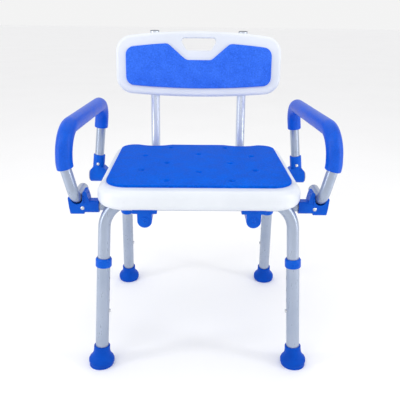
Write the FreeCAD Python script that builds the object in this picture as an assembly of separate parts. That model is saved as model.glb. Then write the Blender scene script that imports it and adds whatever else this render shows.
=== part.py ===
"""Height-adjustable shower chair: moulded seat and backrest with foam pads, tubular
aluminium frame, four telescoping legs and two padded arms that flip up and back.

Millimetres, +Z up, the sitter faces -Y.  The origin is on the floor, under the
middle of the chair's bounding box.
"""
import FreeCAD, Part
import math
import os

V = FreeCAD.Vector
X_AXIS = V(1, 0, 0)
Y_AXIS = V(0, 1, 0)
Z_AXIS = V(0, 0, 1)
SIDES = {"left": -1, "right": 1}

# Clearances
FIT = 0.05              # between pieces fixed to each other
RUNNING = 0.08          # radial, for a bearing that turns
SLIDING = 0.3           # between pieces that slide or lift apart

# Seat panel and its foam pad
SEAT_UNDERSIDE = 357
SEAT_THICKNESS = 39
SEAT_HALF_WIDTH = 201
SEAT_FRONT = -203
SEAT_REAR = 155
SEAT_NOTCH = 12         # depth of the two rear recesses for the back tubes
NOTCH_RADIUS = 74
PAD_THICKNESS = 5
PAD_HALF_WIDTH = 185.5
PAD_FRONT = -173
PAD_REAR = 143
WALL = 4                # moulded wall of the hollow seat panel
DRAIN_RADIUS = 5
DRAIN_HOLES = [(0, -86), (0, 52)]
DRAIN_PAIRS = [(65, -143), (120, -74), (69, -21), (122, 36), (66, 111)]

# Leg frames: foot position, inward splay and lean of each pair, per mm of height
LEGS = {
    "front": {"x": 207, "y": -187, "splay": 0.0585, "lean": 0.0787},
    "rear": {"x": 191, "y": 187, "splay": 0.0386, "lean": -0.2099},
}
LEG_RUN_Z = 364.5       # centreline of each frame's run beneath the seat
LEG_BEND = 60
GROOVE_HALF_LENGTH = 180
UPPER_LEG_R = 12.3
UPPER_LEG_BORE = 11.1
UPPER_LEG_END = 108     # lower end of the inner tube
LOWER_LEG_R = 13.6
LOWER_LEG_BORE = 12.6
LOWER_LEG_TOP = 241
BUTTON_HEIGHT = 126
HOLE_PITCH = 25.4
HOLE_COUNT = 4
BUTTON_R = 3.7
COLLAR_R = 16.4
COLLAR_BOTTOM = 226.5
COLLAR_TOP = 245
FOOT_NECK_R = 17
FOOT_FLARE_R = 27
FOOT_TOP = 44

# Cross tubes that carry the arms
CROSS_R = 11.1
CROSS_BORE = 9.9
FRONT_CROSS_R = 9.5
FRONT_CROSS_BORE = 8.3
FRONT_CROSS = (-134.5, 343.5)       # y, z
REAR_CROSS = (165.6, 312.5)
FRONT_CROSS_HALF = 226
REAR_CROSS_HALF = 274

# Backrest: L-shaped tubes, hollow panel, foam pad; w runs up the reclined tubes
BACK_TUBE_X = 106
BACK_TUBE_R = 11.1
BACK_TUBE_BORE = 9.9
BACK_RUN_Z = 340
BACK_RUN_FRONT = -119
BACK_BEND = 38
BACK_FOOT = V(0, 160, 396)
RECLINE = 6
BACK_TUBE_TOP = 272.5
PANEL_LOW = 120.7
PANEL_HIGH = 273.5
PANEL_HALF_WIDTH = 198
PANEL_FRONT = -22
PANEL_BACK = 4
BACK_PAD_HALF_WIDTH = 174
BACK_PAD_LOW = 141
BACK_PAD_HIGH = 247
BACK_BUTTON_Y = 60
BACK_SLEEVE_R = 14

# Arms: points of the right arm tube from its rear socket to the end of its tail
ARM_R = 11.1
ARM_BORE = 9.7
GRIP_R = 16.4
ARM_POINTS = [
    V(254.9, 165.6, 333),
    V(235.5, 165.6, 502),
    V(257, -155, 503),
    V(260.5, -156, 436),
    V(243.5, -156, 363),
    V(243.5, -83, 363),
]
ARM_BENDS = [44, 48, 60, 22]
GRIP_REAR_Z = 438
GRIP_FRONT_Z = 427.5


# ---------------------------------------------------------------- basic shapes
def cylinder(radius, start, direction, length):
    return Part.makeCylinder(radius, length, start, direction)


def block(x_range, y_range, z_range):
    size = [high - low for low, high in (x_range, y_range, z_range)]
    return Part.makeBox(*size, V(x_range[0], y_range[0], z_range[0]))


def fillet_where(shape, radius, chosen):
    edges = [edge for edge in shape.Edges if chosen(edge)]
    return shape.makeFillet(radius, edges)


def runs_along(edge, axis):
    if not isinstance(edge.Curve, Part.Line):
        return False
    return abs(edge.Curve.Direction.dot(axis)) > 0.999


def rounded_path(points, radii):
    """Straight runs through the points, with each inner corner rounded."""
    edges = []
    start = points[0]
    for before, corner, after, radius in zip(points, points[1:], points[2:], radii):
        into = V(corner - before).normalize()
        out = V(after - corner).normalize()
        turn = into.getAngle(out)
        reach = radius * math.tan(turn / 2)
        first = corner - into * reach
        last = corner + out * reach
        inward = V(out - into).normalize()
        centre = corner + inward * (radius / math.cos(turn / 2))
        middle = centre - inward * radius
        edges.append(Part.LineSegment(start, first).toShape())
        edges.append(Part.Arc(first, middle, last).toShape())
        start = last
    edges.append(Part.LineSegment(start, points[-1]).toShape())
    return Part.Wire(edges)


def swept(path, radius):
    first = path.Edges[0]
    tangent = first.tangentAt(first.FirstParameter)
    circle = Part.makeCircle(radius, first.valueAt(first.FirstParameter), tangent)
    return path.makePipeShell([Part.Wire(circle)], True, False)


def bent_tube(points, radii, outer, inner):
    path = rounded_path(points, radii)
    return swept(path, outer).cut(swept(path, inner))


def straight_tube(start, direction, length, outer, inner):
    solid = cylinder(outer, start, direction, length)
    return solid.cut(cylinder(inner, start, direction, length))


def turned(profile):
    """Solid of revolution about Z from (radius, height) points."""
    wire = Part.makePolygon([V(r, 0, z) for r, z in profile + profile[:1]])
    return Part.Face(wire).revolve(V(0, 0, 0), Z_AXIS, 360)


def pan_screw(head, direction, head_radius, length):
    """Pan-head screw with a cross recess; direction points from head to tip."""
    shank_radius = head_radius * 0.5
    body = cylinder(shank_radius, V(0, 0, 0), Z_AXIS, length)
    dome = Part.makeSphere(head_radius * 1.25, V(0, 0, head_radius * 0.75))
    cap = dome.common(cylinder(head_radius, V(0, 0, -head_radius), Z_AXIS, head_radius))
    recess = block((-0.4, 0.4), (-2, 2), (-head_radius, -head_radius * 0.3))
    recess = recess.fuse(block((-2, 2), (-0.4, 0.4), (-head_radius, -head_radius * 0.3)))
    screw = body.fuse(cap).removeSplitter().cut(recess)
    screw.Placement = FreeCAD.Placement(head, FreeCAD.Rotation(Z_AXIS, direction))
    return screw


def mirrored(shape, side):
    return shape if side > 0 else shape.mirror(V(0, 0, 0), X_AXIS)


# ------------------------------------------------------------------------ legs
def leg_point(pair, side, height):
    leg = LEGS[pair]
    x = side * (leg["x"] - leg["splay"] * height)
    return V(x, leg["y"] + leg["lean"] * height, height)


def leg_up(pair, side):
    return V(leg_point(pair, side, 1) - leg_point(pair, side, 0)).normalize()


def on_leg(shape, pair, side):
    """Move a shape built along Z, inner side facing -X, onto a leg's centreline."""
    shape = mirrored(shape, side)
    turn = FreeCAD.Rotation(Z_AXIS, leg_up(pair, side))
    shape.Placement = FreeCAD.Placement(leg_point(pair, side, 0), turn)
    return shape


def along_leg(pair, side, distance):
    return leg_point(pair, side, 0) + leg_up(pair, side) * distance


def leg_frame_points(pair):
    return [
        along_leg(pair, -1, UPPER_LEG_END),
        leg_point(pair, -1, LEG_RUN_Z),
        leg_point(pair, 1, LEG_RUN_Z),
        along_leg(pair, 1, UPPER_LEG_END),
    ]


def leg_frame(pair):
    """Inverted U of the upper legs and the run beneath the seat."""
    frame = bent_tube(leg_frame_points(pair), [LEG_BEND] * 2, UPPER_LEG_R, UPPER_LEG_BORE)
    for side in SIDES.values():
        hole = cylinder(BUTTON_R + SLIDING, V(0, 0, BUTTON_HEIGHT), X_AXIS * -1, 20)
        frame = frame.cut(on_leg(hole, pair, side))
    return frame


def lower_leg(pair, side):
    length = LOWER_LEG_TOP - 9
    tube = straight_tube(V(0, 0, 9), Z_AXIS, length, LOWER_LEG_R, LOWER_LEG_BORE)
    for step in range(HOLE_COUNT):
        height = BUTTON_HEIGHT + step * HOLE_PITCH
        tube = tube.cut(cylinder(BUTTON_R + SLIDING, V(0, 0, height), X_AXIS * -1, 20))
    return on_leg(tube, pair, side)


def leg_collar(pair, side):
    """Plastic guide ring that caps the lower tube and centres the upper one."""
    grip = LOWER_LEG_R + FIT
    mouth = UPPER_LEG_R + SLIDING
    ring = turned([
        (grip, COLLAR_BOTTOM), (COLLAR_R - 0.8, COLLAR_BOTTOM), (COLLAR_R, COLLAR_BOTTOM + 1.5),
        (COLLAR_R, COLLAR_TOP - 3), (COLLAR_R - 2, COLLAR_TOP), (mouth, COLLAR_TOP),
        (mouth, LOWER_LEG_TOP + FIT), (grip, LOWER_LEG_TOP + FIT),
    ])
    return on_leg(ring, pair, side)


def foot(pair, side):
    """Moulded rubber foot: ribbed neck, flared base, sole cut level with the floor."""
    pocket = LOWER_LEG_R + FIT
    profile = [
        (0, -9), (FOOT_FLARE_R - 1.5, -9), (FOOT_FLARE_R - 1.5, 3), (FOOT_FLARE_R, 7),
        (FOOT_FLARE_R, 12), (FOOT_FLARE_R - 1.5, 15.5), (FOOT_FLARE_R - 4.5, 19),
        (FOOT_NECK_R + 2.6, 23.5), (FOOT_NECK_R + 0.9, 28), (FOOT_NECK_R, 34),
        (FOOT_NECK_R, FOOT_TOP - 1.5), (FOOT_NECK_R - 1, FOOT_TOP), (pocket, FOOT_TOP),
        (pocket, 9 - FIT), (0, 9 - FIT),
    ]
    solid = on_leg(turned(profile), pair, side)
    centre = leg_point(pair, side, 0)
    below = block((centre.x - 60, centre.x + 60), (centre.y - 60, centre.y + 60), (-60, 0))
    return solid.cut(below)


def leg_button(pair, side):
    """Snap button on a hairpin spring strip inside the upper leg."""
    reach = LOWER_LEG_R + 3
    pin = cylinder(BUTTON_R, V(-9.4, 0, BUTTON_HEIGHT), X_AXIS * -1, reach - 9.4)
    pin = fillet_where(pin, 1.5, lambda edge: abs(edge.CenterOfMass.x + reach) < 0.1)
    near = block((-10.2, -9.4), (-4, 4), (BUTTON_HEIGHT - 7, 165))
    far = block((2.8, 3.6), (-4, 4), (BUTTON_HEIGHT - 2, 165))
    bend = cylinder(6.9, V(-3.3, -4, 165), Y_AXIS, 8)
    bend = bend.cut(cylinder(6.1, V(-3.3, -4, 165), Y_AXIS, 8))
    bend = bend.cut(block((-12, 12), (-5, 5), (150, 165)))
    spring = near.fuse([far, bend, pin])
    return on_leg(spring.removeSplitter(), pair, side)


# ------------------------------------------------------------------------ seat
def notched_slab(half_width, front, rear, notch, corners, z_range):
    """Flat slab with rounded corners and two shallow recesses in its rear edge."""
    front_corner, rear_corner, blend = corners
    slab = block((-half_width, half_width), (front, rear), z_range)
    for side in SIDES.values():
        centre = V(side * BACK_TUBE_X, rear - notch + NOTCH_RADIUS, z_range[0] - 1)
        slab = slab.cut(cylinder(NOTCH_RADIUS, centre, Z_AXIS, 100))

    def upright(edge, wanted):
        at = edge.CenterOfMass
        outer = abs(abs(at.x) - half_width) < 0.1
        kind = "notch" if not outer else "front" if at.y < 0 else "rear"
        return runs_along(edge, Z_AXIS) and kind == wanted

    for wanted, radius in (("front", front_corner), ("rear", rear_corner), ("notch", blend)):
        slab = fillet_where(slab, radius, lambda edge: upright(edge, wanted))
    return slab


def round_rim(slab, z, radius):
    return fillet_where(slab, radius, lambda edge: abs(edge.BoundBox.ZMin - z) < 0.01
                        and abs(edge.BoundBox.ZMax - z) < 0.01)


def drain_positions():
    spots = list(DRAIN_HOLES)
    for x, y in DRAIN_PAIRS:
        spots += [(x, y), (-x, y)]
    return spots


def run_groove(pair, clearance):
    """Channel beneath the seat that takes one leg frame's run."""
    run_y = leg_point(pair, 1, LEG_RUN_Z).y
    radius = UPPER_LEG_R + clearance
    half = GROOVE_HALF_LENGTH + clearance
    channel = cylinder(radius, V(-half, run_y, LEG_RUN_Z), X_AXIS, half * 2)
    low = SEAT_UNDERSIDE - 10
    sides = block((-half, half), (run_y - radius, run_y + radius), (low, LEG_RUN_Z))
    return channel.fuse(sides)


def seat_panel():
    """Hollow moulded panel: smooth shell, two tube channels, sleeved drain holes."""
    top = SEAT_UNDERSIDE + SEAT_THICKNESS
    outer = notched_slab(SEAT_HALF_WIDTH, SEAT_FRONT, SEAT_REAR, SEAT_NOTCH, (58, 44, 20),
                         (SEAT_UNDERSIDE, top))
    outer = round_rim(outer, top, 15)
    outer = round_rim(outer, SEAT_UNDERSIDE, 14)
    core = notched_slab(SEAT_HALF_WIDTH - WALL * 2, SEAT_FRONT + WALL * 2, SEAT_REAR - WALL * 2,
                        SEAT_NOTCH, (50, 36, 20), (SEAT_UNDERSIDE + WALL, top - WALL))
    for pair in LEGS:
        outer = outer.cut(run_groove(pair, SLIDING))
        leg_path = rounded_path(leg_frame_points(pair), [LEG_BEND] * 2)
        outer = outer.cut(swept(leg_path, UPPER_LEG_R + SLIDING))
        core = core.cut(run_groove(pair, SLIDING + WALL))
    for x, y in drain_positions():
        outer = outer.cut(cylinder(DRAIN_RADIUS, V(x, y, 300), Z_AXIS, 200))
        core = core.cut(cylinder(DRAIN_RADIUS + WALL, V(x, y, 300), Z_AXIS, 200))
    for screw in seat_screw_places():
        core = core.cut(cylinder(6, V(screw.x, screw.y, 300), Z_AXIS, 200))
        outer = outer.cut(cylinder(2.2, V(screw.x, screw.y, SEAT_UNDERSIDE - 1), Z_AXIS, 21))
    return outer.cut(max(core.Solids, key=lambda solid: solid.Volume))


def seat_pad():
    low = SEAT_UNDERSIDE + SEAT_THICKNESS + FIT
    pad = notched_slab(PAD_HALF_WIDTH, PAD_FRONT, PAD_REAR, SEAT_NOTCH, (44, 32, 12),
                       (low, low + PAD_THICKNESS))
    for x, y in drain_positions():
        pad = pad.cut(cylinder(DRAIN_RADIUS, V(x, y, low - 1), Z_AXIS, 20))
    return pad


# ------------------------------------------------- brackets beneath the seat
LOBE_Z = 332.5
BRACKET_FRONT = (-187, -91)         # y range of the front back-tube brackets
BRACKET_REAR = (30, 90)
FLANGE_X = 106                      # a bracket flange reaches outward a little
FLANGE_HALF_WIDTH = 24
FLANGE_DEPTH = 10
SADDLE_X = 45


def seat_screw_places():
    """Head position of every screw driven up into the seat."""
    places = []
    for side in SIDES.values():
        for y in (BRACKET_FRONT[1] - 7, BRACKET_REAR[0] + 8, BRACKET_REAR[1] - 8):
            for offset in (-20, 20):
                x = side * (FLANGE_X + offset)
                places.append(V(x, y, SEAT_UNDERSIDE - FLANGE_DEPTH))
        for pair in LEGS:
            run_y = leg_point(pair, 1, LEG_RUN_Z).y
            for offset in (-17.5, 17.5):
                places.append(V(side * SADDLE_X, run_y + offset, SEAT_UNDERSIDE - 3))
    return places


def seat_screws():
    screws = [pan_screw(place, Z_AXIS, 3.6, 22) for place in seat_screw_places()]
    return Part.makeCompound(screws)


def clear_screws(shape):
    for place in seat_screw_places():
        shape = shape.cut(cylinder(1.8 + FIT, place - Z_AXIS, Z_AXIS, 40))
    return shape


def bracket_body(y_range, radius, centre_z):
    """Round-bottomed block hanging from a flange, for one back tube."""
    length = y_range[1] - y_range[0]
    lobe = cylinder(radius, V(BACK_TUBE_X, y_range[0], centre_z), Y_AXIS, length)
    neck = block((BACK_TUBE_X - radius, BACK_TUBE_X + radius), y_range,
                 (centre_z, SEAT_UNDERSIDE))
    flange = block((FLANGE_X - FLANGE_HALF_WIDTH, FLANGE_X + FLANGE_HALF_WIDTH), y_range,
                   (SEAT_UNDERSIDE - FLANGE_DEPTH, SEAT_UNDERSIDE))
    flange = fillet_where(flange, 3, lambda edge: runs_along(edge, Z_AXIS))
    solid = lobe.fuse([neck, flange]).removeSplitter()
    ceiling = block((0, 240), (-240, 240), (SEAT_UNDERSIDE, SEAT_UNDERSIDE + 40))
    return solid.cut(ceiling)


def back_bracket_front(side):
    """Saddles the leg run and the cross tube, and takes the back tube's front end."""
    solid = bracket_body(BRACKET_FRONT, 14.3, LOBE_Z)
    boss = cylinder(8, V(BACK_TUBE_X, BRACKET_FRONT[0] - 1.2, LOBE_Z), Y_AXIS, 3)
    solid = solid.fuse(boss)
    pocket = V(BACK_TUBE_X, BACK_RUN_FRONT - 0.5, BACK_RUN_Z)
    solid = solid.cut(cylinder(BACK_TUBE_R + SLIDING, pocket, Y_AXIS, 60))
    cross = V(0, FRONT_CROSS[0], FRONT_CROSS[1])
    solid = solid.cut(cylinder(FRONT_CROSS_R + FIT, cross, X_AXIS, 300))
    solid = solid.cut(run_groove("front", FIT))
    screw_hole = V(BACK_TUBE_X, BRACKET_FRONT[0] - 3, LOBE_Z)
    solid = solid.cut(cylinder(2.05, screw_hole, Y_AXIS, 18))
    return mirrored(clear_screws(solid), side)


def bracket_screws():
    screws = []
    for side in SIDES.values():
        head = V(side * BACK_TUBE_X, BRACKET_FRONT[0] - 1.2 - FIT, LOBE_Z)
        screws.append(pan_screw(head, Y_AXIS, 4, 14))
    return Part.makeCompound(screws)


def back_bracket_rear(side):
    """Sleeve that the back tube slides out of, with the hole its button locks in."""
    solid = bracket_body(BRACKET_REAR, BACK_SLEEVE_R, BACK_RUN_Z)
    bore = V(BACK_TUBE_X, BRACKET_REAR[0] - 1, BACK_RUN_Z)
    solid = solid.cut(cylinder(BACK_TUBE_R + SLIDING, bore, Y_AXIS, 80))
    hole = V(BACK_TUBE_X, BACK_BUTTON_Y, BACK_RUN_Z - 30)
    solid = solid.cut(cylinder(3 + SLIDING, hole, Z_AXIS, 25))
    return mirrored(clear_screws(solid), side)


def tube_saddle(pair, side):
    """Strap that holds a leg frame's run in its channel."""
    run_y = leg_point(pair, 1, LEG_RUN_Z).y
    centre = V(side * SADDLE_X - 9, run_y, LEG_RUN_Z)
    low = SEAT_UNDERSIDE - 3
    strap = cylinder(UPPER_LEG_R + 2.2, centre, X_AXIS, 18)
    tabs = block((centre.x, centre.x + 18), (run_y - 24, run_y + 24), (low, SEAT_UNDERSIDE))
    tabs = fillet_where(tabs, 4, lambda edge: runs_along(edge, Z_AXIS))
    solid = strap.fuse(tabs).cut(cylinder(UPPER_LEG_R + FIT, centre - X_AXIS, X_AXIS, 20))
    ceiling = block((-240, 240), (-240, 240), (SEAT_UNDERSIDE, SEAT_UNDERSIDE + 40))
    return clear_screws(solid.cut(ceiling))


def tube_saddles(pair):
    return Part.makeCompound([tube_saddle(pair, side) for side in SIDES.values()])


# ----------------------------------------------------------------- cross tubes
def bolt_places():
    """Head, direction and length of the bolts that tie the cross tubes to the frame."""
    places = []
    for side in SIDES.values():
        front_x = side * 176
        head = V(front_x, FRONT_CROSS[0] + FRONT_CROSS_R + 1, FRONT_CROSS[1])
        places.append((head, Y_AXIS * -1, 34))
        rear_x = side * 177.5
        places.append((V(rear_x, REAR_CROSS[0] + 17, REAR_CROSS[1]), Y_AXIS * -1, 56))
    return places


def frame_bolts():
    return Part.makeCompound([pan_screw(*place[:2], 5, place[2]) for place in bolt_places()])


def clear_bolts(shape):
    for head, direction, length in bolt_places():
        shape = shape.cut(cylinder(2.5 + FIT, head - direction * 4, direction, length + 8))
    return shape


def front_cross_tube():
    start = V(-FRONT_CROSS_HALF, FRONT_CROSS[0], FRONT_CROSS[1])
    tube = straight_tube(start, X_AXIS, FRONT_CROSS_HALF * 2, FRONT_CROSS_R, FRONT_CROSS_BORE)
    return clear_bolts(tube)


def rear_cross_tube():
    start = V(-REAR_CROSS_HALF, REAR_CROSS[0], REAR_CROSS[1])
    return clear_bolts(straight_tube(start, X_AXIS, REAR_CROSS_HALF * 2, CROSS_R, CROSS_BORE))


def cross_clamp(side):
    """Moulded joint that holds the rear cross tube behind a rear leg."""
    leg_y = leg_point("rear", 1, REAR_CROSS[1]).y
    low = REAR_CROSS[1] - 16.5
    tube_boss = cylinder(16.5, V(161, REAR_CROSS[0], REAR_CROSS[1]), X_AXIS, 33)
    web = block((165, 190), (leg_y, REAR_CROSS[0]), (low, low + 33))
    leg_boss = cylinder(17, along_leg("rear", 1, low + 1), leg_up("rear", 1), 36)
    solid = tube_boss.fuse([web, leg_boss]).removeSplitter()
    start = V(0, REAR_CROSS[0], REAR_CROSS[1])
    solid = solid.cut(cylinder(CROSS_R + FIT, start, X_AXIS, 300))
    leg_path = rounded_path(leg_frame_points("rear"), [LEG_BEND] * 2)
    solid = solid.cut(swept(leg_path, UPPER_LEG_R + FIT))
    return mirrored(clear_bolts(solid), side)


# ------------------------------------------------------------------------ arms
def arm_tube(side):
    return mirrored(bent_tube(ARM_POINTS, ARM_BENDS, ARM_R, ARM_BORE), side)


def point_on_run(low, high, z):
    share = (z - low.z) / (high.z - low.z)
    return low + (high - low) * share


def grip_points():
    rear = point_on_run(ARM_POINTS[0], ARM_POINTS[1], GRIP_REAR_Z)
    front = point_on_run(ARM_POINTS[3], ARM_POINTS[4], GRIP_FRONT_Z)
    return [rear, ARM_POINTS[1], ARM_POINTS[2], ARM_POINTS[3], front]


def arm_grip(side):
    """Foam sleeve over the top of the arm tube and both of its upper bends."""
    return mirrored(bent_tube(grip_points(), ARM_BENDS[:3], GRIP_R, ARM_R + 0.15), side)


PIVOT_INNER = 226.5
PIVOT_OUTER = 276.5


def arm_pivot(side):
    """Moulded T: a sleeve that turns on the cross tube and a socket for the arm."""
    axis_y, axis_z = REAR_CROSS
    up = V(ARM_POINTS[1] - ARM_POINTS[0]).normalize()
    sleeve = cylinder(16, V(PIVOT_INNER, axis_y, axis_z), X_AXIS, PIVOT_OUTER - PIVOT_INNER)
    sleeve = fillet_where(sleeve, 1.5, lambda edge: isinstance(edge.Curve, Part.Circle))
    inner, outer = PIVOT_INNER + 1.5, PIVOT_OUTER - 1.5
    shoulder = [(inner, 0), (inner, 12), (239.5, 24), (269.5, 24), (outer, 12), (outer, 0)]
    outline = [V(x, axis_y - 14, axis_z + z) for x, z in shoulder]
    skirt = Part.Face(Part.makePolygon(outline + outline[:1])).extrude(Y_AXIS * 28)
    skirt = fillet_where(skirt, 3, lambda edge: runs_along(edge, Y_AXIS)
                         and edge.CenterOfMass.z > axis_z + 8)
    foot_point = ARM_POINTS[0] - up * 14
    socket = cylinder(14.6, foot_point, up, 49.5)
    socket = fillet_where(socket, 2, lambda edge: edge.CenterOfMass.z > foot_point.z + 40)
    solid = sleeve.fuse([skirt, socket]).removeSplitter()
    solid = solid.cut(cylinder(ARM_R + FIT, ARM_POINTS[0], up, 60))
    solid = solid.cut(cylinder(CROSS_R + RUNNING, V(200, axis_y, axis_z), X_AXIS, 120))
    solid = solid.cut(cylinder(2 + FIT, pivot_screw_head() - Y_AXIS * 2, Y_AXIS, 12))
    return mirrored(solid, side)


def pivot_screw_head():
    up = V(ARM_POINTS[1] - ARM_POINTS[0]).normalize()
    axis_point = ARM_POINTS[0] + up * 13
    return axis_point - Y_AXIS * (14.6 + FIT)


def arm_screw(side):
    screw = pan_screw(pivot_screw_head(), Y_AXIS, 4, 3.4)
    return mirrored(screw, side)


def arm_plug(side):
    """Domed plug in the open end of the arm's tail."""
    end = ARM_POINTS[-1]
    out = V(ARM_POINTS[-1] - ARM_POINTS[-2]).normalize()
    spigot = cylinder(ARM_BORE - FIT, end - out * 12, out, 12)
    cap = cylinder(ARM_R, end, out, 2.2)
    cap = fillet_where(cap, 1.5, lambda edge: edge.CenterOfMass.y > end.y + 2)
    return mirrored(spigot.fuse(cap).removeSplitter(), side)


def pivot_end_caps():
    caps = []
    for side in SIDES.values():
        start = V(REAR_CROSS_HALF - 15, REAR_CROSS[0], REAR_CROSS[1])
        spigot = cylinder(CROSS_BORE - FIT, start, X_AXIS, 18.6)
        flange_x = PIVOT_OUTER + SLIDING
        flange = cylinder(13, V(flange_x, REAR_CROSS[0], REAR_CROSS[1]), X_AXIS, 2.2)
        flange = fillet_where(flange, 1.2, lambda edge: edge.CenterOfMass.x > flange_x + 2)
        caps.append(mirrored(spigot.fuse(flange).removeSplitter(), side))
    return Part.makeCompound(caps)


CRADLE_INNER = 201
CRADLE_OUTER = 262
SADDLE_CENTRE_X = ARM_POINTS[4].x


def arm_cradle(side):
    """Sleeve on the front cross tube with an open saddle for the arm's tail."""
    y, z = FRONT_CROSS
    sleeve = block((CRADLE_INNER, CRADLE_OUTER - 4), (y - 15, y + 15), (z - 11.2, z + 14))
    sleeve = fillet_where(sleeve, 8, lambda edge: runs_along(edge, X_AXIS))
    wall_points = [(230, 331.5), (257.5, 331.5), (259.5, 345), (261, 366), (255, 368),
                   (230, 368)]
    outline = [V(x, y - 15, height) for x, height in wall_points]
    saddle = Part.Face(Part.makePolygon(outline + outline[:1])).extrude(Y_AXIS * 30)
    saddle = fillet_where(saddle, 2, lambda edge: runs_along(edge, Y_AXIS)
                          and edge.CenterOfMass.x > 240)
    web_points = [(219, 350), (220, 360), (222.5, 371), (225, 377.5), (229, 378.5),
                  (231.5, 376), (233, 368), (233, 350)]
    outline = [V(x, y - 13, height) for x, height in web_points]
    web = Part.Face(Part.makePolygon(outline + outline[:1])).extrude(Y_AXIS * 26)
    solid = sleeve.fuse([saddle, web]).removeSplitter()
    trough_z = ARM_POINTS[4].z
    radius = ARM_R + SLIDING
    trough = cylinder(radius, V(SADDLE_CENTRE_X, y - 40, trough_z), Y_AXIS, 80)
    above = block((SADDLE_CENTRE_X - radius, SADDLE_CENTRE_X + radius), (y - 40, y + 40),
                  (trough_z, trough_z + 60))
    solid = solid.cut(trough.fuse(above))
    solid = solid.cut(swept(rounded_path(ARM_POINTS, ARM_BENDS), radius))
    bore = cylinder(FRONT_CROSS_R + FIT, V(150, y, z), X_AXIS, FRONT_CROSS_HALF - 149.8)
    solid = solid.cut(bore)
    solid = solid.cut(cylinder(2 + FIT, cradle_screw_head() - Y_AXIS * 3, Y_AXIS, 8))
    return mirrored(solid, side)


def cradle_screw_head():
    return V(233, FRONT_CROSS[0] - 15 - FIT, FRONT_CROSS[1])


def cradle_screws():
    screw = pan_screw(cradle_screw_head(), Y_AXIS, 4, 4.2)
    return Part.makeCompound([mirrored(screw, side) for side in SIDES.values()])


# -------------------------------------------------------------------- backrest
def reclined(shape):
    turn = FreeCAD.Rotation(X_AXIS, -RECLINE)
    shape.Placement = FreeCAD.Placement(BACK_FOOT, turn).multiply(shape.Placement)
    return shape


def back_tube_points():
    slope = math.tan(math.radians(RECLINE))
    up = V(0, math.sin(math.radians(RECLINE)), math.cos(math.radians(RECLINE)))
    corner_y = BACK_FOOT.y + (BACK_RUN_Z - BACK_FOOT.z) * slope
    side = V(BACK_TUBE_X, 0, 0)
    return [
        V(BACK_TUBE_X, BACK_RUN_FRONT, BACK_RUN_Z),
        V(BACK_TUBE_X, corner_y, BACK_RUN_Z),
        BACK_FOOT + side + up * BACK_TUBE_TOP,
    ]


def back_screw_places():
    return [V(side * BACK_TUBE_X, BACK_TUBE_R + FIT, w)
            for side in SIDES.values() for w in (PANEL_LOW + 28, PANEL_HIGH - 30)]


def clear_back_screws(shape):
    for place in back_screw_places():
        hole = cylinder(2 + FIT, place + Y_AXIS * 4, Y_AXIS * -1, 34)
        shape = shape.cut(reclined(hole))
    return shape


def back_tube(side):
    tube = bent_tube(back_tube_points(), [BACK_BEND], BACK_TUBE_R, BACK_TUBE_BORE)
    hole = V(BACK_TUBE_X, BACK_BUTTON_Y, BACK_RUN_Z - 30)
    tube = tube.cut(cylinder(3 + SLIDING, hole, Z_AXIS, 25))
    return clear_back_screws(mirrored(tube, side))


def arched_slab(half_width, low, high, s_range, corner, sags):
    """Upright slab whose top and bottom edges bow outwards; s is its thickness."""
    slab = block((-half_width, half_width), s_range, (low, high))
    top_sag, bottom_sag = sags
    for sag, height, sense in ((top_sag, high, -1), (bottom_sag, low, 1)):
        radius = (half_width ** 2 + sag ** 2) / (2 * sag)
        centre = V(0, s_range[0] - 1, height + sense * radius)
        slab = slab.common(cylinder(radius, centre, Y_AXIS, 60))
    return fillet_where(slab, corner, lambda edge: runs_along(edge, Y_AXIS))


def hand_slot(grow):
    """Trapezium that the hand goes through, wider at its top edge."""
    top, bottom = 257.5 + grow, 229.5 - grow
    half_top, half_bottom = 46 + grow, 29 + grow
    corners = [V(-half_bottom, -40, bottom), V(half_bottom, -40, bottom),
               V(half_top, -40, top), V(-half_top, -40, top)]
    slot = Part.Face(Part.makePolygon(corners + corners[:1])).extrude(Y_AXIS * 60)
    return fillet_where(slot, 7 + grow / 2, lambda edge: runs_along(edge, Y_AXIS))


def tube_channel(side, clearance):
    """U-shaped channel, open to the rear, that a back tube is pressed into."""
    radius = BACK_TUBE_R + clearance
    x = side * BACK_TUBE_X
    channel = cylinder(radius, V(x, 0, 100), Z_AXIS, 200)
    return channel.fuse(block((x - radius, x + radius), (0, 20), (100, 300)))


def back_panel():
    """Hollow moulded panel with a hand slot and channels for the tubes behind."""
    panel = arched_slab(PANEL_HALF_WIDTH, PANEL_LOW, PANEL_HIGH, (PANEL_FRONT, PANEL_BACK), 40,
                        (15, 10))
    for face_s, radius in ((PANEL_FRONT, 8), (PANEL_BACK, 4)):
        panel = fillet_where(panel, radius, lambda edge: abs(edge.BoundBox.YMin - face_s) < 0.01
                             and abs(edge.BoundBox.YMax - face_s) < 0.01)
    core = arched_slab(PANEL_HALF_WIDTH - 7, PANEL_LOW + 7, PANEL_HIGH - 7,
                       (PANEL_FRONT + 3.5, PANEL_BACK - 3.5), 34, (15, 10))
    panel = fillet_where(panel.cut(hand_slot(0)), 2.5, is_slot_rim)
    core = core.cut(hand_slot(4))
    for side in SIDES.values():
        panel = panel.cut(tube_channel(side, FIT))
        core = core.cut(tube_channel(side, 3.5))
    for place in back_screw_places():
        core = core.cut(cylinder(6, place + Y_AXIS * 10, Y_AXIS * -1, 60))
    for solid in core.Solids:
        panel = panel.cut(solid)
    return clear_back_screws(reclined(panel))


def is_slot_rim(edge):
    """Edges of the hand slot that lie in the panel's front or back face."""
    box = edge.BoundBox
    flat = box.YLength < 0.01
    near_slot = box.XMin > -60 and box.XMax < 60 and box.ZMin > 225 and box.ZMax < 262
    return flat and near_slot


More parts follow.
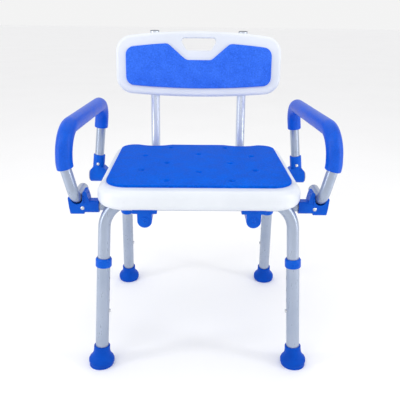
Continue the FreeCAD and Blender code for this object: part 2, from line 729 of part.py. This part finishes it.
def back_pad():
    """Foam pad with a wide notch beneath the hand slot."""
    face = (PANEL_FRONT - FIT - PAD_THICKNESS, PANEL_FRONT - FIT)
    pad = arched_slab(BACK_PAD_HALF_WIDTH, BACK_PAD_LOW, BACK_PAD_HIGH, face, 20, (12, 8))
    corners = [(-30, 207), (30, 207), (80, 250), (80, 270), (-80, 270), (-80, 250)]
    outline = [V(x, -60, w) for x, w in corners]
    notch = Part.Face(Part.makePolygon(outline + outline[:1])).extrude(Y_AXIS * 60)
    pad = pad.cut(notch)
    pad = fillet_where(pad, 14, lambda edge: runs_along(edge, Y_AXIS)
                       and abs(edge.CenterOfMass.x) < 90)
    return reclined(pad)


def back_caps():
    """Grey plugs in the upper ends of the back tubes."""
    caps = []
    for side in SIDES.values():
        x = side * BACK_TUBE_X
        spigot = cylinder(BACK_TUBE_BORE - FIT, V(x, 0, BACK_TUBE_TOP - 12), Z_AXIS, 12)
        cap = cylinder(BACK_TUBE_R, V(x, 0, BACK_TUBE_TOP), Z_AXIS, 3)
        cap = fillet_where(cap, 2, lambda edge: edge.CenterOfMass.z > BACK_TUBE_TOP + 2.9)
        caps.append(reclined(spigot.fuse(cap).removeSplitter()))
    return Part.makeCompound(caps)


def back_screws():
    screws = []
    for place in back_screw_places():
        screws.append(reclined(pan_screw(place, Y_AXIS * -1, 4, 27)))
    return Part.makeCompound(screws)


def back_button(side):
    """Snap button on a hairpin spring strip inside the back tube's run."""
    tip = BACK_RUN_Z - BACK_SLEEVE_R - 2.5
    length = BACK_RUN_Z - 8.2 - tip
    pin = cylinder(3, V(BACK_TUBE_X, BACK_BUTTON_Y, tip), Z_AXIS, length)
    pin = fillet_where(pin, 1.2, lambda edge: abs(edge.CenterOfMass.z - tip) < 0.1)
    x_range = (BACK_TUBE_X - 3.5, BACK_TUBE_X + 3.5)
    bend_y = BACK_BUTTON_Y - 38
    near = block(x_range, (bend_y, BACK_BUTTON_Y + 6), (BACK_RUN_Z - 9, BACK_RUN_Z - 8.2))
    far = block(x_range, (bend_y, BACK_BUTTON_Y), (BACK_RUN_Z + 3, BACK_RUN_Z + 3.8))
    centre = V(x_range[0], bend_y, BACK_RUN_Z - 2.6)
    bend = cylinder(6.4, centre, X_AXIS, 7).cut(cylinder(5.6, centre, X_AXIS, 7))
    bend = bend.cut(block((0, 240), (bend_y, bend_y + 20), (300, 400)))
    return mirrored(near.fuse([far, bend, pin]).removeSplitter(), side)


# ---------------------------------------------------------------------- output
def all_parts():
    parts = {
        "seat_panel": seat_panel(),
        "seat_pad": seat_pad(),
        "seat_screws": seat_screws(),
        "front_leg_frame": clear_bolts(leg_frame("front")),
        "rear_leg_frame": clear_bolts(leg_frame("rear")),
        "front_tube_saddles": tube_saddles("front"),
        "rear_tube_saddles": tube_saddles("rear"),
        "front_cross_tube": front_cross_tube(),
        "rear_cross_tube": rear_cross_tube(),
        "frame_bolts": frame_bolts(),
        "bracket_screws": bracket_screws(),
        "cradle_screws": cradle_screws(),
        "pivot_end_caps": pivot_end_caps(),
        "back_panel": back_panel(),
        "back_pad": back_pad(),
        "back_tube_caps": back_caps(),
        "back_screws": back_screws(),
    }
    for name, side in SIDES.items():
        parts["back_bracket_front_" + name] = back_bracket_front(side)
        parts["back_bracket_rear_" + name] = back_bracket_rear(side)
        parts["cross_clamp_" + name] = cross_clamp(side)
        parts["arm_cradle_" + name] = arm_cradle(side)
        parts["arm_tube_" + name] = arm_tube(side)
        parts["arm_grip_" + name] = arm_grip(side)
        parts["arm_pivot_" + name] = arm_pivot(side)
        parts["arm_screw_" + name] = arm_screw(side)
        parts["arm_plug_" + name] = arm_plug(side)
        parts["back_tube_" + name] = back_tube(side)
        parts["back_button_" + name] = back_button(side)
        for pair in LEGS:
            place = pair + "_" + name
            parts["lower_leg_" + place] = lower_leg(pair, side)
            parts["leg_collar_" + place] = leg_collar(pair, side)
            parts["foot_" + place] = foot(pair, side)
            parts["leg_button_" + place] = leg_button(pair, side)
    return parts


os.makedirs("parts", exist_ok=True)
for node, shape in all_parts().items():
    shape.exportStep("parts/" + node + ".step")
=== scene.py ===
"""Looks for the shower chair: materials, foam pads, foam grips, light and camera."""
import math

import bmesh
import bpy
from mathutils import Matrix, Vector, noise
from mathutils.geometry import delaunay_2d_cdt


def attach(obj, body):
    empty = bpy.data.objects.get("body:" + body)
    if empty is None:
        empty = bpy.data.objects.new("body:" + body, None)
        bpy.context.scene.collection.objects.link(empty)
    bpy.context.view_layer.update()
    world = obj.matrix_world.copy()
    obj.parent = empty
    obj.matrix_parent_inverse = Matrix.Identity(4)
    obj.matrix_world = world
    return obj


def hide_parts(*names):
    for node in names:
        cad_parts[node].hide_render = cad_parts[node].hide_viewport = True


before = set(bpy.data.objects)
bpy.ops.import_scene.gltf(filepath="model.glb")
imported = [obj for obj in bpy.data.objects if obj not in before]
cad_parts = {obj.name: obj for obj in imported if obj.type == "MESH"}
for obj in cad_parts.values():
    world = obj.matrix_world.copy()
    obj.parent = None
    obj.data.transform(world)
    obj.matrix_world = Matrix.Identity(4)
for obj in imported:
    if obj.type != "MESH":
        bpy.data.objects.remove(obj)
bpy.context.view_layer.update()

MM = 0.001
RECLINE = math.radians(6)


# ------------------------------------------------------------------- materials
class Nodes:
    """A material's node tree, with short ways to add and join nodes."""

    def __init__(self, name):
        self.material = bpy.data.materials.new(name)
        self.material.use_nodes = True
        self.tree = self.material.node_tree
        self.shader = self.tree.nodes["Principled BSDF"]
        self.place = self.tree.nodes.new("ShaderNodeTexCoord").outputs["Object"]

    def add(self, kind, **inputs):
        node = self.tree.nodes.new(kind)
        for name, value in inputs.items():
            self.set(node.inputs[name.replace("_", " ")], value)
        return node

    def set(self, socket, value):
        if isinstance(value, bpy.types.NodeSocket):
            self.tree.links.new(value, socket)
        else:
            socket.default_value = value

    def noise(self, scale, detail=3.0, rough=0.55, place=None):
        node = self.add("ShaderNodeTexNoise", Scale=scale, Detail=detail, Roughness=rough,
                        Vector=place or self.place)
        return node.outputs["Fac"]

    def stretched(self, scale):
        return self.add("ShaderNodeMapping", Vector=self.place, Scale=scale).outputs[0]

    def cells(self, scale, feature="F1"):
        node = self.add("ShaderNodeTexVoronoi", Scale=scale, Vector=self.place)
        node.feature = feature
        return node.outputs["Distance"]

    def ramp(self, source, low, high, start=0.0, end=1.0):
        node = self.add("ShaderNodeMapRange", Value=source, From_Min=low, From_Max=high,
                        To_Min=start, To_Max=end)
        return node.outputs[0]

    def math(self, kind, a, b):
        node = self.tree.nodes.new("ShaderNodeMath")
        node.operation = kind
        self.set(node.inputs[0], a)
        self.set(node.inputs[1], b)
        return node.outputs[0]

    def mix(self, factor, a, b):
        node = self.tree.nodes.new("ShaderNodeMix")
        node.data_type = "RGBA"
        self.set(node.inputs[0], factor)
        self.set(node.inputs[6], a)
        self.set(node.inputs[7], b)
        return node.outputs[2]

    def bump(self, height, strength, distance, below=None):
        node = self.add("ShaderNodeBump", Height=height, Strength=strength, Distance=distance)
        if below is not None:
            self.set(node.inputs["Normal"], below)
        return node.outputs[0]

    def finish(self, color, roughness, normal, **constants):
        self.set(self.shader.inputs["Base Color"], color)
        self.set(self.shader.inputs["Roughness"], roughness)
        self.set(self.shader.inputs["Normal"], normal)
        for name, value in constants.items():
            self.shader.inputs[name.replace("_", " ")].default_value = value
        return self.material


def rgb(red, green, blue):
    """Linear colour from 0-255 screen values."""
    def linear(value):
        value /= 255
        return value / 12.92 if value <= 0.04045 else ((value + 0.055) / 1.055) ** 2.4
    return (linear(red), linear(green), linear(blue), 1.0)


def scaled(color, factor, lift=0.0):
    """Colour made lighter or darker by a factor, then raised by a small amount."""
    return tuple(min(c * factor + lift, 1.0) for c in color[:3]) + (1.0,)


def moulded_white():
    n = Nodes("moulded_white")
    cloud = n.noise(9.0, 4.0)
    scuffs = n.ramp(n.noise(60.0, 6.0, 0.7, n.stretched((1.0, 0.25, 1.0))), 0.62, 0.72)
    tint = n.mix(n.ramp(cloud, 0.3, 0.7), rgb(220, 225, 232), rgb(229, 233, 239))
    color = n.mix(n.math("MULTIPLY", scuffs, 0.12), tint, rgb(196, 200, 208))
    rough = n.math("ADD", n.ramp(cloud, 0.3, 0.7, 0.30, 0.38), n.math("MULTIPLY", scuffs, 0.12))
    grain = n.bump(n.noise(900.0, 2.0), 0.10, 0.0004)
    sink = n.bump(n.noise(14.0, 1.0), 0.25, 0.0008, grain)
    return n.finish(color, rough, sink, Coat_Weight=0.12, Coat_Roughness=0.25)


def foam(name, dark, light, cell, roughness, specular, relief=1.0):
    """Closed-cell foam: fine pits with painted shade in them, a coarser grain and soft
    mottling.
    """
    n = Nodes(name)
    mottle = n.noise(38.0, 5.0, 0.6)
    grain = n.noise(cell * 0.55, 3.0, 0.7)
    pits = n.ramp(n.cells(cell), 0.0, 0.55)
    tint = n.mix(n.ramp(mottle, 0.3, 0.7), dark, light)
    shade = n.mix(n.ramp(grain, 0.50, 0.74, 0.0, 0.55), tint, scaled(dark, 0.62))
    frost = n.mix(n.ramp(grain, 0.26, 0.46, 0.8, 0.0), shade, scaled(light, 1.25, 0.004))
    # painted shade: the colour darkens towards the middle of each pit, where the bump sinks the
    # surface
    color = n.mix(n.ramp(pits, 0.0, 0.4, 0.30, 0.0), frost, scaled(dark, 0.55))
    rough = n.ramp(mottle, 0.3, 0.7, roughness - 0.05, roughness + 0.06)
    fine = n.bump(pits, 0.55 * relief, 0.0005)
    soft = n.bump(grain, 0.35 * relief, 0.0008, fine)
    return n.finish(color, rough, soft, Specular_IOR_Level=specular)


def blue_moulding(name, dark, light, roughness, specular):
    """Hard or rubbery blue plastic with fine grain, slight sinks and pale scuffs."""
    n = Nodes(name)
    cloud = n.noise(26.0, 4.0)
    scuffs = n.ramp(n.noise(160.0, 6.0, 0.7), 0.64, 0.74)
    tint = n.mix(n.ramp(cloud, 0.3, 0.7), dark, light)
    pale = n.mix(0.2, light, (1.0, 1.0, 1.0, 1.0))
    color = n.mix(n.math("MULTIPLY", scuffs, 0.15), tint, pale)
    rough = n.math("ADD", n.ramp(cloud, 0.3, 0.7, roughness - 0.04, roughness + 0.04),
                   n.math("MULTIPLY", scuffs, 0.15))
    grain = n.bump(n.noise(1100.0, 2.0), 0.22, 0.0003)
    sink = n.bump(n.noise(45.0, 1.0), 0.20, 0.0006, grain)
    return n.finish(color, rough, sink, Specular_IOR_Level=specular)


def satin_tube(name, dark, light):
    n = Nodes(name)
    cloud = n.noise(12.0, 4.0)
    drawn = n.noise(420.0, 3.0, 0.6, n.stretched((1.0, 1.0, 0.04)))
    scratches = n.ramp(n.noise(240.0, 8.0, 0.75, n.stretched((1.0, 0.3, 0.15))), 0.66, 0.74)
    tint = n.mix(n.ramp(cloud, 0.3, 0.7), dark, light)
    color = n.mix(n.math("MULTIPLY", scratches, 0.25), tint, rgb(228, 231, 236))
    rough = n.ramp(drawn, 0.3, 0.7, 0.27, 0.33)
    grain = n.bump(drawn, 0.03, 0.0002)
    return n.finish(color, rough, grain, Metallic=0.70)


def bright_steel():
    n = Nodes("plated_steel")
    cloud = n.noise(300.0, 4.0)
    spots = n.ramp(n.noise(700.0, 5.0, 0.7), 0.62, 0.72)
    tint = n.mix(n.ramp(cloud, 0.3, 0.7), rgb(196, 198, 202), rgb(222, 224, 228))
    color = n.mix(n.math("MULTIPLY", spots, 0.5), tint, rgb(150, 146, 140))
    rough = n.ramp(cloud, 0.3, 0.7, 0.18, 0.32)
    return n.finish(color, rough, n.bump(cloud, 0.15, 0.0002), Metallic=1.0)


def grey_moulding():
    n = Nodes("grey_moulding")
    cloud = n.noise(60.0, 4.0)
    color = n.mix(n.ramp(cloud, 0.3, 0.7), rgb(122, 126, 134), rgb(146, 150, 158))
    rough = n.ramp(cloud, 0.3, 0.7, 0.42, 0.52)
    return n.finish(color, rough, n.bump(n.noise(1000.0, 2.0), 0.25, 0.0003))


WHITE = moulded_white()
SEAT_FOAM = foam("seat_foam", rgb(0, 84, 204), rgb(0, 98, 222), 520.0, 0.60, 0.04)
BACK_FOAM = foam("back_foam", rgb(44, 102, 226), rgb(60, 118, 240), 520.0, 0.66, 0.10)
GRIP_FOAM = foam("grip_foam", rgb(0, 76, 196), rgb(0, 90, 214), 1100.0, 0.34, 0.22, 0.2)
PLASTIC = blue_moulding("blue_plastic", rgb(0, 78, 194), rgb(0, 92, 208), 0.28, 0.13)
RUBBER = blue_moulding("blue_rubber", rgb(0, 66, 172), rgb(0, 78, 190), 0.50, 0.08)
TUBE = satin_tube("satin_aluminium", rgb(158, 170, 190), rgb(172, 182, 200))
# Lighter copy of the same satin aluminium for the back tubes: a painted highlight where they
# catch the light.
PAINTED_HIGHLIGHT_TUBE = satin_tube("aluminium_painted_highlight", rgb(204, 212, 226), rgb(218, 225, 236))
STEEL = bright_steel()
GREY = grey_moulding()

FINISHES = (
    (("seat_panel", "back_panel"), WHITE),
    (("back_tube_caps", "pivot_end_caps", "arm_plug", "front_tube_saddles",
      "rear_tube_saddles"), GREY),
    (("foot",), RUBBER),
    (("leg_collar", "back_bracket", "cross_clamp", "arm_cradle", "arm_pivot",
      "bracket_screws"), PLASTIC),
    (("seat_screws", "back_screws", "cradle_screws", "arm_screw", "frame_bolts",
      "leg_button", "back_button"), STEEL),
    (("lower_leg", "front_leg_frame", "rear_leg_frame", "front_cross_tube",
      "rear_cross_tube", "arm_tube"), TUBE),
    # the back tubes take the lighter copy of the aluminium: painted highlight
    (("back_tube",), PAINTED_HIGHLIGHT_TUBE),
)


def dress_frame():
    for name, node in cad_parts.items():
        for prefixes, material in FINISHES:
            if name.startswith(prefixes):
                for held in node.material_slots:
                    held.material = material
                break


# ------------------------------------------------------------------- foam pads
def top_loops(node, to_local):
    """Closed outlines of a pad's front face, in the pad's own plane, in metres."""
    mesh = node.data
    points = [to_local @ v.co for v in mesh.vertices]
    high = max(p.z for p in points)

    def key(index):
        return (round(points[index].x, 5), round(points[index].y, 5))

    uses = {}
    for face in mesh.polygons:
        if all(high - points[i].z < 0.0001 for i in face.vertices):
            corners = [key(i) for i in face.vertices]
            for a, b in zip(corners, corners[1:] + corners[:1]):
                uses[(a, b)] = uses.get((a, b), 0) + 1
    rim = {a: b for a, b in uses if (b, a) not in uses and a != b}
    loops = []
    while rim:
        start, step = next(iter(rim.items()))
        loop = [start]
        while step != start:
            loop.append(step)
            step = rim.pop(step)
        rim.pop(start, None)
        loops.append([Vector(p) for p in loop])
    return loops, high


def length_of(loop):
    return sum((b - a).length for a, b in zip(loop, loop[1:] + loop[:1]))


def resampled(loop, spacing):
    total = length_of(loop)
    count = max(24, int(total / spacing))
    step = total / count
    out = []
    walked = 0.0
    target = 0.0
    for a, b in zip(loop, loop[1:] + loop[:1]):
        span = (b - a).length
        while target < walked + span - 1e-9 and len(out) < count:
            out.append(a.lerp(b, (target - walked) / span))
            target += step
        walked += span
    return out


def smoothed(loop, rounds):
    for _ in range(rounds):
        count = len(loop)
        loop = [(loop[i - 1] + loop[i] * 2 + loop[(i + 1) % count]) / 4
                for i in range(count)]
    return loop


def inset(loop, distance):
    """Loop moved towards the foam: inwards for the rim, outwards for a hole."""
    count = len(loop)
    out = []
    for i, point in enumerate(loop):
        along = (loop[(i + 1) % count] - loop[i - 1]).normalized()
        out.append(point + Vector((-along.y, along.x)) * distance)
    return out


def inside(point, loop):
    hit = False
    for a, b in zip(loop, loop[1:] + loop[:1]):
        if (a.y > point.y) != (b.y > point.y):
            if point.x < (b.x - a.x) * (point.y - a.y) / (b.y - a.y) + a.x:
                hit = not hit
    return hit


RIM_ROLL = 0.0019           # radius of a pad's rolled rim
PAD_SPACING = 0.006         # between the points of a pad's open face
ROLL_STEPS = (0.0, 0.12, 0.35, 0.65, 1.0, 1.5, 2.3)
THROAT = 0.72               # a drain hole in the foam against the one in the panel
DISH_WIDTH = 0.0048         # from the throat to the flat of the foam
DISH_DEPTH = 0.0034
DISH_STEPS = (0.0, 0.15, 0.35, 0.6, 0.85, 1.1)
CROWN = 0.0007              # how far the middle of a pad stands above its rim
WAVE = 0.00025


class PadFace:
    """Points over a pad's face, each with its height, and the outlines to keep."""

    def __init__(self, loops, high):
        self.high = high
        rim = smoothed(resampled(loops[0], 0.0012), 3)
        self.rim = resampled(rim, 0.003)
        self.left, self.right = min(p.x for p in self.rim), max(p.x for p in self.rim)
        self.bottom, self.top = min(p.y for p in self.rim), max(p.y for p in self.rim)
        holes = [resampled(loop, 0.0014) for loop in loops[1:]]
        self.centres = [sum(hole, Vector((0, 0))) / len(hole) for hole in holes]
        self.holes = [[c + (p - c) * THROAT for p in hole]
                      for hole, c in zip(holes, self.centres)]
        self.radius = (self.holes[0][0] - self.centres[0]).length if holes else 0.0
        self.points, self.heights, self.outlines = [], [], []

    def rolled(self, distance):
        inner = max(RIM_ROLL - distance, 0.0)
        return self.high - RIM_ROLL + math.sqrt(max(RIM_ROLL ** 2 - inner ** 2, 0.0))

    def dished(self, distance):
        return self.high - DISH_DEPTH * max(1 - distance / DISH_WIDTH, 0.0) ** 1.6

    def add_rings(self, loop, distances, height):
        for distance in distances:
            moved = inset(loop, distance)
            if distance == 0.0:
                first = len(self.points)
                self.outlines.append([first + i for i in range(len(moved))])
            self.points.extend(moved)
            self.heights.extend([height(distance)] * len(moved))

    def add_open_face(self):
        """Even rows of points wherever no ring has put any."""
        border = inset(self.rim, RIM_ROLL * ROLL_STEPS[-1] + PAD_SPACING * 0.55)
        clear = self.radius + DISH_WIDTH * DISH_STEPS[-1] + PAD_SPACING * 0.5
        row = 0
        y = self.bottom
        while y < self.top:
            x = self.left + (PAD_SPACING / 2 if row % 2 else 0.0)
            while x < self.right:
                point = Vector((x, y))
                far = all((point - c).length > clear for c in self.centres)
                if far and inside(point, border):
                    self.points.append(point)
                    self.heights.append(self.high)
                x += PAD_SPACING
            y += PAD_SPACING * 0.866
            row += 1

    def bulge(self, point, height):
        """Crown and waviness at a point, fading out down the rolled rim."""
        across = (2 * point.x - self.left - self.right) / (self.right - self.left)
        along = (2 * point.y - self.bottom - self.top) / (self.top - self.bottom)
        crown = CROWN * max(0.0, 1 - across ** 4) * max(0.0, 1 - along ** 4)
        wave = noise.noise(Vector((point.x * 22, point.y * 22, 0.3))) * WAVE
        share = min(1.0, max(0.0, (height - self.high + RIM_ROLL) / RIM_ROLL))
        return (crown + wave) * share

    def holds(self, point):
        in_hole = any((point - c).length < self.radius * 0.99 for c in self.centres)
        return inside(point, self.rim) and not in_hole


def pad(name, node, to_world):
    """Foam pad with a rolled rim, dished drain holes and a very slight crown.

    Each dish is about 17 mm across and narrows to a throat smaller than the hole in
    the panel beneath.
    """
    to_local = to_world.inverted()
    loops, high = top_loops(node, to_local)
    low = min((to_local @ v.co).z for v in node.data.vertices)
    loops.sort(key=length_of, reverse=True)
    face = PadFace(loops, high)
    face.add_rings(face.rim, [step * RIM_ROLL for step in ROLL_STEPS], face.rolled)
    for hole in face.holes:
        face.add_rings(hole, [step * DISH_WIDTH for step in DISH_STEPS], face.dished)
    face.add_open_face()

    chains = [(a, b) for loop in face.outlines for a, b in zip(loop, loop[1:] + loop[:1])]
    verts, _, cells, origins, _, _ = delaunay_2d_cdt(face.points, chains, [], 0, 1e-7)
    source = [found[0] for found in origins]
    bm = bmesh.new()
    upper, lower = [], []
    for point, came in zip(verts, source):
        height = face.heights[came]
        top = height + face.bulge(point, height)
        upper.append(bm.verts.new(to_world @ Vector((point.x, point.y, top))))
        lower.append(bm.verts.new(to_world @ Vector((point.x, point.y, low))))
    for cell in cells:
        centre = sum((verts[i] for i in cell), Vector((0, 0))) / len(cell)
        if face.holds(centre):
            bm.faces.new([upper[i] for i in cell])
            bm.faces.new([lower[i] for i in reversed(cell)])
    index = {came: i for i, came in enumerate(source)}
    for loop in face.outlines:
        ids = [index[came] for came in loop]
        for a, b in zip(ids, ids[1:] + ids[:1]):
            bm.faces.new([upper[b], upper[a], lower[a], lower[b]])
    loose = [v for v in bm.verts if not v.link_faces]
    bmesh.ops.delete(bm, geom=loose, context="VERTS")
    bmesh.ops.recalc_face_normals(bm, faces=bm.faces)
    return finished(bm, name, 50)


def finished(bm, name, sharp_degrees):
    mesh = bpy.data.meshes.new(name)
    bm.to_mesh(mesh)
    bm.free()
    mesh.shade_smooth()
    mesh.set_sharp_from_angle(angle=math.radians(sharp_degrees))
    piece = bpy.data.objects.new(name, mesh)
    bpy.context.scene.collection.objects.link(piece)
    return piece


def foam_pads():
    flat = Matrix.Identity(4)
    seat = pad("seat_foam_pad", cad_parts["seat_pad"], flat)
    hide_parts("seat_pad")
    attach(seat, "frame")
    seat.data.materials.append(SEAT_FOAM)

    up = Vector((0, math.sin(RECLINE), math.cos(RECLINE)))
    front = Vector((0, -math.cos(RECLINE), math.sin(RECLINE)))
    leaning = Matrix((Vector((1, 0, 0)), up, front)).transposed().to_4x4()
    back = pad("back_foam_pad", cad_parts["back_pad"], leaning)
    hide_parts("back_pad")
    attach(back, "backrest")
    back.data.materials.append(BACK_FOAM)


# ------------------------------------------------------------------ arm grips
GRIP_RADIUS = 16.4          # sizes and places of the right grip, in mm
GRIP_BORE = 11.3
GRIP_ROLL = 2.6             # radius of its rolled ends
GRIP_CORNERS = [
    (242.847, 165.6, 438.0),
    (235.5, 165.6, 502.0),
    (257.0, -155.0, 503.0),
    (260.5, -156.0, 436.0),
    (258.521, -156.0, 427.5),
]
GRIP_BENDS = (44, 48, 60)
GRIP_SIDES = 56
GRIP_END_STEPS = (0.0, 0.15, 0.45, 0.9, 1.5, 2.2, 3.0, 4.5)
GRIP_LOOP_CENTRE = Vector((0, 5, 470))


def grip_path():
    """Centre points down the grip every couple of millimetres, and how bent it is."""
    corners = [Vector(c) for c in GRIP_CORNERS]
    points, bends = [], []

    def straight(a, b):
        count = max(2, int((b - a).length / 3))
        for i in range(count):
            points.append(a.lerp(b, i / count))
            bends.append(0.0)

    start = corners[0]
    for before, corner, after, radius in zip(corners, corners[1:], corners[2:], GRIP_BENDS):
        into = (corner - before).normalized()
        out = (after - corner).normalized()
        turn = into.angle(out)
        reach = radius * math.tan(turn / 2)
        first = corner - into * reach
        centre = corner + (out - into).normalized() * (radius / math.cos(turn / 2))
        axis = into.cross(out).normalized()
        straight(start, first)
        count = int(radius * turn / 2)
        for i in range(count):
            spin = Matrix.Rotation(turn * i / count, 3, axis)
            points.append(centre + spin @ (first - centre))
            bends.append(math.sin(math.pi * i / count))
        start = corner + out * reach
    straight(start, corners[-1])
    points.append(corners[-1])
    bends.append(0.0)
    return points, bends


class GripLine:
    """The grip's centre line, with places found by distance along it."""

    def __init__(self):
        self.points, self.bends = grip_path()
        self.walked = [0.0]
        for a, b in zip(self.points, self.points[1:]):
            self.walked.append(self.walked[-1] + (b - a).length)
        self.total = self.walked[-1]

    def at(self, distance):
        distance = min(max(distance, 0.0), self.total)
        i = max(k for k in range(len(self.walked)) if self.walked[k] <= distance + 1e-9)
        if i == len(self.walked) - 1:
            return self.points[-1], self.bends[-1]
        share = (distance - self.walked[i]) / (self.walked[i + 1] - self.walked[i])
        bend = self.bends[i] * (1 - share) + self.bends[i + 1] * share
        return self.points[i].lerp(self.points[i + 1], share), bend

    def stations(self):
        between = [6 + k * 2.0 for k in range(int((self.total - 12) / 2))]
        return (list(GRIP_END_STEPS) + between
                + [self.total - step for step in reversed(GRIP_END_STEPS)])


def grip_ring(line, s):
    """Outer and inner ring of points at one distance along the grip."""
    centre, bend = line.at(s)
    along = (line.at(s + 0.8)[0] - line.at(s - 0.8)[0]).normalized()
    sideways = Vector((1, 0, 0))
    across = (sideways - along * sideways.dot(along)).normalized()
    outward = along.cross(across)
    to_loop = GRIP_LOOP_CENTRE - centre
    inwards = Vector((0, to_loop.y, to_loop.z)).normalized()
    near = min(s, line.total - s)
    inner_roll = max(GRIP_ROLL - near, 0.0)
    squeeze = GRIP_ROLL - math.sqrt(max(GRIP_ROLL ** 2 - inner_roll ** 2, 0.0))
    outer, inner = [], []
    for k in range(GRIP_SIDES):
        angle = 2 * math.pi * k / GRIP_SIDES
        ray = across * math.cos(angle) + outward * math.sin(angle)
        crease = 0.35 * bend * max(0.0, ray.dot(inwards)) ** 2 * math.sin(s * 1.15)
        lump = noise.noise(ray * 1.3 + Vector((0, 0, s * 0.03))) * 0.22
        reach = GRIP_RADIUS - squeeze + crease + lump * min(near / 6, 1.0)
        outer.append(centre + ray * reach)
        inner.append(centre + ray * GRIP_BORE)
    return outer, inner


def grip(name, side, body, node):
    """Foam sleeve with rolled ends and faint creases inside its bends."""
    line = GripLine()
    rings = [grip_ring(line, s) for s in line.stations()]
    bm = bmesh.new()

    def place(ring):
        return [bm.verts.new(Vector((p.x * side, p.y, p.z)) * MM) for p in ring]

    chain = [place(outer) for outer, _ in rings]
    chain += [place(inner) for _, inner in reversed(rings)]
    for ring, following in zip(chain, chain[1:] + chain[:1]):
        for k in range(GRIP_SIDES):
            j = (k + 1) % GRIP_SIDES
            bm.faces.new([ring[k], ring[j], following[j], following[k]])
    bmesh.ops.recalc_face_normals(bm, faces=bm.faces)
    piece = finished(bm, name, 48)
    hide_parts(node)
    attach(piece, body)
    piece.data.materials.append(GRIP_FOAM)


# ------------------------------------------------------------ light and camera
def floor():
    bm = bmesh.new()
    bmesh.ops.create_grid(bm, x_segments=8, y_segments=8, size=20.0)
    piece = finished(bm, "floor", 30)
    n = Nodes("pale_floor")
    cloud = n.noise(2.0, 3.0)
    color = n.mix(n.ramp(cloud, 0.3, 0.7), rgb(250, 250, 251), rgb(252, 252, 253))
    rough = n.ramp(cloud, 0.3, 0.7, 0.75, 0.85)
    piece.data.materials.append(n.finish(color, rough, n.bump(cloud, 0.02, 0.001)))


def area_light(name, place, target, size, power, tint=(1.0, 1.0, 1.0)):
    light = bpy.data.lights.new(name, "AREA")
    light.shape = "RECTANGLE"
    light.size, light.size_y = size
    light.energy = power
    light.color = tint
    lamp = bpy.data.objects.new(name, light)
    bpy.context.scene.collection.objects.link(lamp)
    lamp.location = place
    aim = Vector(target) - Vector(place)
    lamp.rotation_euler = aim.to_track_quat("-Z", "Y").to_euler()


def lights():
    world = bpy.data.worlds.new("studio")
    bpy.context.scene.world = world
    world.use_nodes = True
    background = world.node_tree.nodes["Background"]
    background.inputs["Color"].default_value = (1.0, 1.0, 1.0, 1.0)
    background.inputs["Strength"].default_value = 0.90
    area_light("key", (-1.2, -1.5, 2.2), (0, 0, 0.35), (1.0, 1.0), 7)
    area_light("fill", (1.6, -1.4, 1.5), (0, 0, 0.35), (1.2, 1.2), 2)
    area_light("top", (0, 0.5, 2.4), (0, 0, 0.3), (1.8, 1.8), 5)
    area_light("strip_left", (-1.3, -0.5, 0.7), (-0.1, 0, 0.35), (0.22, 1.3), 4.5)
    area_light("strip_right", (1.3, -0.5, 0.7), (0.1, 0, 0.35), (0.22, 1.3), 4.5)


EYE = (-0.015, -1.107, 0.721)
PITCH, YAW, ROLL = 0.358, 0.0174, 0.0126    # radians: down, towards +X, and tilt


def camera():
    pitch, yaw, roll = PITCH, YAW, ROLL
    forward = Vector((math.sin(yaw) * math.cos(pitch), math.cos(yaw) * math.cos(pitch),
                      -math.sin(pitch)))
    right = Vector((math.cos(yaw), -math.sin(yaw), 0))
    up = right.cross(forward)
    turned_right = right * math.cos(roll) + up * math.sin(roll)
    turned_up = up * math.cos(roll) - right * math.sin(roll)
    data = bpy.data.cameras.new("camera")
    data.sensor_width = 36.0
    data.lens = 46.2
    data.clip_end = 60.0
    eye = bpy.data.objects.new("camera", data)
    bpy.context.scene.collection.objects.link(eye)
    axes = Matrix((turned_right, turned_up, -forward)).transposed().to_4x4()
    eye.matrix_world = Matrix.Translation(EYE) @ axes
    bpy.context.scene.camera = eye


dress_frame()
foam_pads()
grip("grip_foam_left", -1, "arm_left", "arm_grip_left")
grip("grip_foam_right", 1, "arm_right", "arm_grip_right")
floor()
lights()
camera()
bpy.context.scene.view_settings.view_transform = "Standard"
